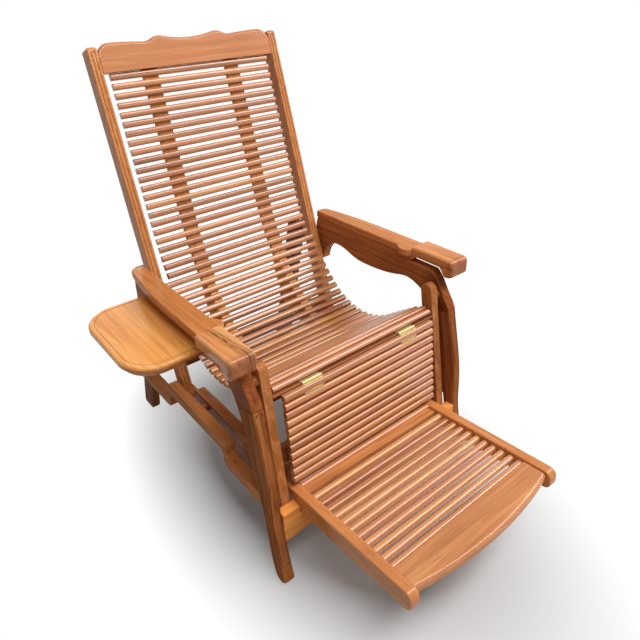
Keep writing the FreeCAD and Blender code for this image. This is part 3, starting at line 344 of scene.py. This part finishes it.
def number_planks(bm, seed):
    """Gives each separate plank of a piece a tone and a hue of its own."""
    tone = bm.verts.layers.float.new("plank_tone")
    hue = bm.verts.layers.float.new("plank_hue")
    chance = random.Random(seed)
    todo = set(bm.verts)
    planks = []
    while todo:
        plank, front = set(), [todo.pop()]
        while front:
            vert = front.pop()
            plank.add(vert)
            for link in vert.link_edges:
                other = link.other_vert(vert)
                if other in todo:
                    todo.remove(other)
                    front.append(other)
        planks.append((min((round(v.co.z - v.co.y, 4), v.index) for v in plank), plank))
    for _, plank in sorted(planks, key=lambda row: row[0]):
        this_tone, this_hue = chance.random(), chance.random()
        for vert in plank:
            vert[tone], vert[hue] = this_tone, this_hue


def facing(normal, area, tilt):
    """Chooses faces above an area that look one way, within a tilt in degrees."""
    limit = math.cos(math.radians(tilt))
    wanted = Vector(normal).normalized()
    return lambda face: face.calc_area() > area and face.normal.dot(wanted) > limit


def eased(node_name, seed, radius, angle, shape, detail):
    """A copy of a CAD node that stands for it: shaped, its edges eased, then detailed."""
    bm = bmesh.new()
    bm.from_mesh(nodes[node_name].data)
    bmesh.ops.remove_doubles(bm, verts=bm.verts, dist=WELD)
    bmesh.ops.dissolve_limit(bm, angle_limit=math.radians(FLAT), verts=bm.verts, edges=bm.edges)
    if shape is not None:
        shape(bm)
    limit = math.radians(angle)
    round_over(bm, lambda edge: edge.calc_face_angle(0.0) > limit, radius, segments=3)
    if detail is not None:
        detail(bm)
    bm.verts.index_update()
    number_planks(bm, seed)
    mesh = bpy.data.meshes.new(node_name + "_eased")
    bm.to_mesh(mesh)
    bm.free()
    obj = bpy.data.objects.new(node_name + "_eased", mesh)
    bpy.context.scene.collection.objects.link(obj)
    for polygon in mesh.polygons:
        polygon.use_smooth = True
    mesh.set_sharp_from_angle(angle=math.radians(CRISP))
    flat = obj.modifiers.new("flat_faces", "WEIGHTED_NORMAL")
    flat.keep_sharp = True
    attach(obj, body_of[node_name])
    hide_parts(node_name)
    return obj


# Shapes and details of single pieces that the plain easing doesn't give. Lengths are in metres.
STILE_LEAN = 17.8


def stile_lines(bm):
    """The line round the stile's face, which reads as two mouldings."""
    lean = math.radians(STILE_LEAN)
    rout(bm, facing((0.0, -math.cos(lean), math.sin(lean)), area=0.004, tilt=4.0),
         inset=0.0030, width=0.0034, depth=0.0016)


def leg_lines(bm):
    """The line on the leg's front, between its toe and the block."""
    rout(bm, lambda face: (face.normal.y < -0.9 and face.calc_area() > 1.5e-5
                           and 0.05 < face.calc_center_median().z < 0.42),
         inset=0.0030, width=0.0032, depth=0.0014, even=False)


def tray_lines(bm):
    """The inlaid line round the tray's top."""
    rout(bm, facing((0.0, 0.0, 1.0), area=0.01, tilt=3.0), inset=0.0060, width=0.0036, depth=0.0012)


def crest_edge(bm):
    """The rim of the front face, rounded along the top and the ends."""
    low = min(v.co.z for v in bm.verts)
    round_over(bm, lambda edge: (edge.calc_face_angle(0.0) > SQUARE
                                 and min(f.normal.y for f in edge.link_faces) < -0.9
                                 and all(v.co.z > low + 0.010 for v in edge.verts)),
               radius=0.0075, segments=6, clamp=False)


def stile_top(bm):
    """The head carried up a little along the stile, and rounded over."""
    lift, lean = 0.005, math.radians(STILE_LEAN)
    top = max(v.co.z for v in bm.verts)
    head = [v for v in bm.verts if v.co.z > top - 0.012]
    bmesh.ops.translate(bm, verts=head, vec=(0.0, lift * math.sin(lean), lift * math.cos(lean)))
    round_over(bm, lambda edge: edge.calc_face_angle(0.0) > CORNER and all(v in head for v in edge.verts),
               radius=0.0055, segments=4)


def front_leg_toe(bm):
    """The toe's lower front corner sawn off."""
    cut_away(bm, point=(0.0, -0.0085, 0.0055), normal=(0.0, -0.72, -0.69))


def block_soap(bm):
    """The block's long top edges and its front edges, rounded like a bar of soap."""
    top = max(v.co.z for v in bm.verts)
    front = min(v.co.y for v in bm.verts)
    round_over(bm, lambda edge: (edge.calc_face_angle(0.0) > SQUARE
                                 and max(abs(f.normal.x) for f in edge.link_faces) > 0.9
                                 and all(v.co.z > top - 0.0135 or v.co.y < front + 0.012
                                         for v in edge.verts)),
               radius=0.0065, segments=6, clamp=False)


def rear_leg_head(bm):
    """The head sawn off below the arm and rounded over."""
    head = 0.500
    cut_away(bm, point=(0.0, 0.62, head), normal=(0.0, 0.0, 1.0))
    round_over(bm, lambda edge: (edge.calc_face_angle(0.0) > CORNER
                                 and all(v.co.z > head - 0.0005 for v in edge.verts)
                                 and abs(edge.verts[0].co.x - edge.verts[1].co.x) > 0.004),
               radius=0.0085, segments=5)


def rear_board_edge(bm):
    """The front edge carried forward, down the footrest's slope."""
    front = min(v.co.y for v in bm.verts)
    edge = [v for v in bm.verts if v.co.y < front + 0.004]
    bmesh.ops.translate(bm, verts=edge, vec=(0.0, -0.0075, 0.0005))


def board_nose(bm):
    """The upper front edge of the bowed board, rounded over."""
    front = min(v.co.y for v in bm.verts)
    round_over(bm, lambda edge: (edge.calc_face_angle(0.0) > CORNER
                                 and all(v.co.y < front + 0.045 for v in edge.verts)
                                 and abs(sum(f.normal.z for f in edge.link_faces)) > 0.3
                                 and max(f.normal.z for f in edge.link_faces) > 0.9
                                 and abs(edge.verts[0].co.x - edge.verts[1].co.x) > 0.002),
               radius=0.0085, segments=5)


# What a slat or a board has where the tables that follow don't name it. radius is that of the eased edges,
# and angle, in degrees, the least between two faces at which their edge is eased.
SLAT = {"tones": FAWN, "coat": 1.0, "rough": 0.30, "gloss": 0.5, "spread": 0.24, "figure": 0.4,
        "radius": 0.0010, "angle": 50.0}
BOARD = {"tones": TEAK, "coat": 0.25, "rough": 0.40, "gloss": 0.0, "spread": 0.08, "figure": 0.4,
         "radius": 0.0022, "angle": 30.0}
RADIUS = {"arm_block": 0.0014, "arm_top": 0.0036, "tray_edging": 0.0038, "tray": 0.0042, "spacers": 0.0010,
          "crest_rail": 0.0016, "footrest_rail": 0.0034, "front_leg": 0.0034, "stile": 0.0030}
SHAPE = {"front_leg": front_leg_toe, "rear_leg": rear_leg_head, "footrest_front_board": board_nose,
         "footrest_rear_board": rear_board_edge, "arm_block": block_soap, "stile": stile_top,
         "crest_rail": crest_edge}
DETAIL = {"stile": stile_lines, "front_leg": leg_lines, "tray": tray_lines}
# The grain's axis and its lean about X in degrees. Elsewhere it runs along X.
GRAIN = {"stile": ("Z", -STILE_LEAN), "back_lath": ("Z", -STILE_LEAN), "front_leg": ("Z", 12.0),
         "rear_leg": ("Z", 12.6), "front_post": ("Z", -9.0), "calf_batten": ("Z", 0.0),
         "tray_prop": ("Z", 0.0), "seat_rib": ("Y", 0.0), "arm_board": ("Y", 0.0), "arm_top": ("Y", 0.0),
         "arm_block": ("Y", 0.0), "tray": ("Y", 0.0), "tray_edging": ("Y", 0.0), "stretcher": ("Y", 0.0),
         "guide_rail": ("Y", 0.0), "runner": ("Y", 0.0), "footrest_rail": ("Y", 0.0)}
# The legs, posts, arm boards, stretchers, rails, runners, spacers and calf battens take the darkest tones,
# partly painted shade for pieces that stand in shade
TONES = {"crest_rail": ROSE, "tray": HONEY, "tray_edging": TAN, "arm_block": OCHRE, "back_lath": LATH_PAINTED_LIGHT,
         "seat_rib": LATH_PAINTED_LIGHT, "seat_slats": SEAT, "back_slats": CASK_PAINTED_SHADE, "lower_back_slats": CASK_PAINTED_SHADE,
         "bucket_slats": CASK_PAINTED_SHADE, "rear_seat_slats": CASK_PAINTED_SHADE, "calf_batten": DUN, "footrest_front_board": FAWN,
         "footrest_rear_board": FAWN, "nose_rail": UMBER, "front_leg": BARK_PAINTED_SHADE, "rear_leg": UMBER,
         "front_post": DUN, "arm_board": DUN, "stretcher": DUN, "guide_rail": DUN, "runner": UMBER,
         "spacers": UMBER, "lower_cross_rail": UMBER, "seat_cross_rail": UMBER, "front_cross_rail": HONEY}
FIGURE = {"crest_rail": 0.35, "tray": 0.6, "arm_block": 0.5, "footrest_front_board": 0.3,
          "footrest_rear_board": 0.5, "arm_board": 0.5, "stile": 0.3}
COAT = {"crest_rail": 0.6, "footrest_front_board": 0.8, "footrest_rail": 0.6, "arm_block": 0.6,
        "arm_top": 0.4, "tray": 0.7, "nose_rail": 0.8, "stile": 0.5, "front_leg": 0.04, "rear_leg": 0.10,
        "arm_board": 0.12, "stretcher": 0.12, "back_lath": 0.05, "seat_rib": 0.05}
# Darker parts, partly stained end grain at the fronts of the blocks and arm boards and partly painted shade,
# as on the tray's lower edge: the direction in which they lie, where the darkening starts and is full, and
# its strength
STAIN_AND_SHADE = {"arm_block": ((0.0, -1.0, 0.0), -0.084, -0.068, 0.75),
         "arm_board": ((0.0, -1.0, 0.0), -0.150, -0.110, 0.75),
         "tray": ((0.0, 0.0, -1.0), -0.4935, -0.4900, 0.80)}


def kind(node_name):
    """The piece's name without its side."""
    return node_name.removesuffix("_left").removesuffix("_right")


def vein_line(node_name):
    """Where the veins cross the middle of a block, measured along their own lean."""
    low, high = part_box(node_name)
    return low.x * 0.38 + high.x * 0.62 + VEIN_LEAN * (low.y + high.y) / 2


# Wood, edges and grain of each piece
for number, (node_name, obj) in enumerate(sorted(nodes.items())):
    if "hinge" in node_name or node_name == "prop_pin":
        give(obj, brushed_brass(node_name + "_brass", "X" if "calf" in node_name else "Y"))
        continue
    sort = kind(node_name)
    usual = SLAT if "slat" in node_name else BOARD
    along, turn = GRAIN.get(sort, ("X", 0.0))
    material = oiled_wood(node_name + "_wood", along, turn, TONES.get(sort, usual["tones"]),
                          seed=number * PIECE_STEP,
                          figure=FIGURE.get(sort, usual["figure"]), spread=usual["spread"],
                          coat=COAT.get(sort, usual["coat"]), rough=usual["rough"], gloss=usual["gloss"],
                          veins=vein_line(node_name) if node_name == "arm_block_left" else None,
                          stain_and_shade=STAIN_AND_SHADE.get(sort))
    piece = eased(node_name, seed=number, radius=RADIUS.get(sort, usual["radius"]), angle=usual["angle"],
                  shape=SHAPE.get(sort), detail=DETAIL.get(sort))
    give(piece, material)

# Leaves of the calf hinges that show between the slats: one on the first slat's top, one on the second's.
# Each leaf is as wide as the CAD leaf, and its row gives its depth and its place behind and above the
# hinge's line, before the leaf is leaned with the calf panel.
CALF_LEAN = math.atan2(0.11, 0.994)
HINGE_Y, HINGE_Z = 0.077899, 0.417783
LEAVES = (0.0064, -0.0057, -0.00250), (0.0090, -0.0072, -0.02251)
LEAF_THICKNESS = 0.0008
SCREW_STEPS = -0.36, 0.0, 0.36
for side in ("left", "right"):
    low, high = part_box("calf_hinge_moving_" + side)
    middle, width = (low.x + high.x) / 2, high.x - low.x
    leaves = bmesh.new()
    for depth, behind, above in LEAVES:
        leaf = bmesh.ops.create_cube(leaves, size=1.0)["verts"]
        bmesh.ops.scale(leaves, verts=leaf, vec=(width, depth, LEAF_THICKNESS))
        screws = []
        for step in SCREW_STEPS:
            spot = Matrix.Translation((step * width, -0.0004, 0.0005))
            screws += bmesh.ops.create_cone(leaves, cap_ends=True, segments=20, radius1=0.0019,
                                            radius2=0.0016, depth=0.0004, matrix=spot)["verts"]
        bmesh.ops.translate(leaves, verts=leaf + screws, vec=(middle, behind, above))
    round_over(leaves, lambda edge: edge.calc_face_angle(0.0) > 1.0 and edge.calc_length() > 0.0007,
               radius=0.00022, segments=2)
    turned = Matrix.Translation((0.0, HINGE_Y, HINGE_Z)) @ Matrix.Rotation(-CALF_LEAN, 4, "X")
    bmesh.ops.transform(leaves, matrix=turned, verts=leaves.verts)
    mesh = bpy.data.meshes.new("calf_hinge_leaves_" + side)
    leaves.to_mesh(mesh)
    leaves.free()
    piece = bpy.data.objects.new("calf_hinge_leaves_" + side, mesh)
    bpy.context.scene.collection.objects.link(piece)
    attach(piece, "calf_panel")
    give(piece, brushed_brass("calf_hinge_leaves_" + side + "_brass", "X"))

# Camera, solved from the photograph: its frame, focal length and middle of view are in pixels, and the
# sensor's width in millimetres
FRAME, FOCAL, VIEW_MIDDLE, SENSOR = 640.0, 584.2, (301.33, 280.01), 36.0
camera_data = bpy.data.cameras.new("camera")
camera_data.sensor_width = SENSOR
camera_data.lens = SENSOR * FOCAL / FRAME
camera_data.shift_x = (FRAME / 2 - VIEW_MIDDLE[0]) / FRAME
camera_data.shift_y = (VIEW_MIDDLE[1] - FRAME / 2) / FRAME
camera = bpy.data.objects.new("camera", camera_data)
right = Vector((0.78554, -0.61810, -0.02958))
up = Vector((0.30719, 0.34802, 0.88573))
back = Vector((-0.53718, -0.70486, 0.46326))
turned = Matrix((right, up, back)).transposed().to_4x4()
camera.matrix_world = Matrix.Translation((-0.73466, -0.67900, 1.14754)) @ turned
bpy.context.scene.collection.objects.link(camera)
bpy.context.scene.camera = camera

# Pale floor that runs out into the white around it, from an oval under the chair to a larger one. Outside it
# the rays that show the floor see white glow; inside it they see the floor's grey paint and the chair's
# shadow on it, which together make a painted shadow pool round the chair
FLOOR_GREY = 0.47
OVAL_MIDDLE, OVAL_SHARE, OVAL_START, OVAL_END = (0.0, 0.115, 0.0), 0.58, 0.25, 0.46
floor_mesh = bpy.data.meshes.new("floor")
sheet = bmesh.new()
bmesh.ops.create_grid(sheet, x_segments=1, y_segments=1, size=40.0)
sheet.to_mesh(floor_mesh)
sheet.free()
floor = bpy.data.objects.new("floor", floor_mesh)
bpy.context.scene.collection.objects.link(floor)
floor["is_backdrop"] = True
paint = Finish("floor_paint", Roughness=0.9, Base_Color=(FLOOR_GREY, FLOOR_GREY, FLOOR_GREY, 1.0),
               Specular_IOR_Level=0.0)
oval = paint.drawn_out(paint.place(), "Y", OVAL_SHARE)
distance = paint.node("ShaderNodeVectorMath", {"operation": "DISTANCE"}, {0: oval, 1: OVAL_MIDDLE},
                      output="Value")
# Painted shadow pool: the floor glows white only outside the oval, and shows its grey paint within it
outside_shadow_pool = paint.band(distance, low=OVAL_START, high=OVAL_END)
white = paint.node("ShaderNodeEmission")
ground = paint.node("ShaderNodeMixShader", None, {0: paint.background_rays() * outside_shadow_pool,
                                                  1: Wire(paint, paint.shader.outputs["BSDF"]), 2: white})
paint.lead(ground, paint.tree.nodes["Material Output"].inputs["Surface"])
give(floor, paint.material)

# A world that is white where it is seen, and weaker where it lights the chair
AMBIENT = 0.24
world = bpy.data.worlds.new("studio")
bpy.context.scene.world = world
world.use_nodes = True
background = world.node_tree.nodes["Background"]
background.inputs["Color"].default_value = (1.0, 1.0, 1.0, 1.0)
sky = Shading(world.node_tree)
strength = sky.node("ShaderNodeMix", {"data_type": "FLOAT"}, {0: sky.background_rays(), 2: AMBIENT, 3: 1.0})
sky.lead(strength, background.inputs["Strength"])


def soft_light(name, place, target, size, power):
    """A lamp behind a rectangular screen, its long side along the chair's slats."""
    light = bpy.data.lights.new(name, "AREA")
    light.shape = "RECTANGLE"
    light.size, light.size_y = size
    light.energy = power
    lamp = bpy.data.objects.new(name, light)
    lamp.visible_camera = False
    towards = (Vector(target) - Vector(place)).normalized()
    side = (Vector((1.0, 0.0, 0.0)) - towards * towards.x).normalized()
    lamp.matrix_world = (Matrix.Translation(place)
                         @ Matrix((side, (-towards).cross(side), -towards)).transposed().to_4x4())
    bpy.context.scene.collection.objects.link(lamp)


soft_light("key", place=(1.10, -1.15, 2.90), target=(0.0, 0.3, 0.4), size=(5.2, 1.0), power=150.0)
soft_light("fill", place=(-2.4, -1.6, 1.5), target=(0.0, 0.3, 0.5), size=(2.0, 2.0), power=3.0)
soft_light("back_fill", place=(0.7, 3.3, 1.1), target=(0.0, 0.3, 0.5), size=(2.0, 1.6), power=26.0)
bpy.context.scene.view_settings.view_transform = "Standard"

low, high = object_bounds()
